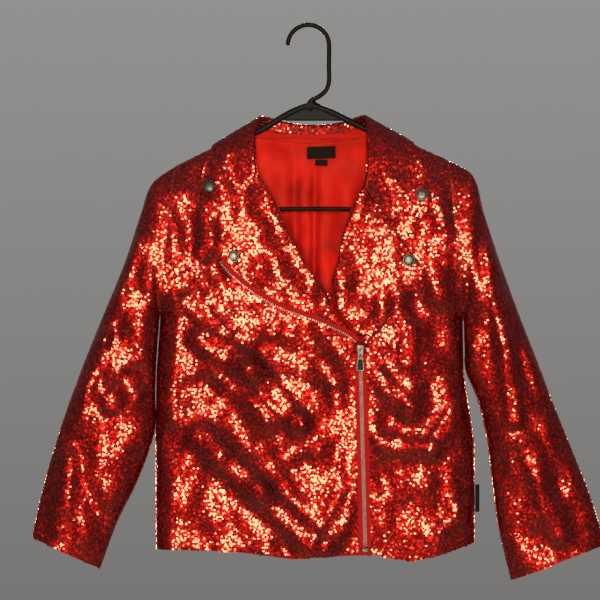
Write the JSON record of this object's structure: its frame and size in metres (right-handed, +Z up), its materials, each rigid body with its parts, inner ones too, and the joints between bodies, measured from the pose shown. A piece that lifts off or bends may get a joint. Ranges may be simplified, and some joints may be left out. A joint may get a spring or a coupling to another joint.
{
  "type": "moto jacket on a hanger",
  "caption": "Cropped moto jacket in red sequin cloth with wide lapels, a slanted front zip and snaps, hung flat on a black moulded hanger.",
  "frame": {"origin": "inner top of the hanger's hook, where a rail carries it", "axes": "+Z up, +Y towards the back of the jacket, so the front faces -Y, +X towards the wearer's left"},
  "size_m": [0.6905, 0.0653, 0.6715],
  "materials": {
    "sequin_cloth": "metallic red round sequins sewn on red mesh",
    "satin_lining": "satin",
    "zip_tape": "woven polyester tape",
    "nickel": "polished nickel",
    "hanger_plastic": "moulded, slightly glossy",
    "label_black": "woven satin"
  },
  "bodies": {
    "jacket": {"back_panel": "sequin_cloth", "front_right": "sequin_cloth", "front_left": "sequin_cloth", "sleeve_right_front": "sequin_cloth", "sleeve_right_back": "sequin_cloth", "sleeve_left_front_upper": "sequin_cloth", "sleeve_left_front_lower": "sequin_cloth", "sleeve_left_back_upper": "sequin_cloth", "sleeve_left_back_lower": "sequin_cloth", "collar": "sequin_cloth", "lapel_right": "sequin_cloth", "lapel_left": "sequin_cloth", "hanger": "hanger_plastic", "zip_chain": "nickel", "zip_tape_right": "zip_tape", "zip_tape_left": "zip_tape", "zip_half_chain": "nickel", "zip_half_tape": "zip_tape", "lining_back": "satin_lining", "neck_tape": "satin_lining", "neck_label": "label_black", "size_tab": "label_black", "snap_collar_right": "nickel", "snap_lapel_right": "nickel", "snap_collar_left": "nickel", "snap_lapel_left": "nickel", "slider": "nickel", "bottom_stop": "nickel", "side_tab": "label_black"},
    "zip_pull": {"pull_tab": "nickel"}
  },
  "joints": [
    {"name": "pull_tab_hinge", "type": "hinge", "parent": "jacket", "child": "zip_pull", "pos_m": [0.0618, -0.03207, -0.394], "axis": [-1, 0, 0], "range_deg": [0, 120]}
  ]
}
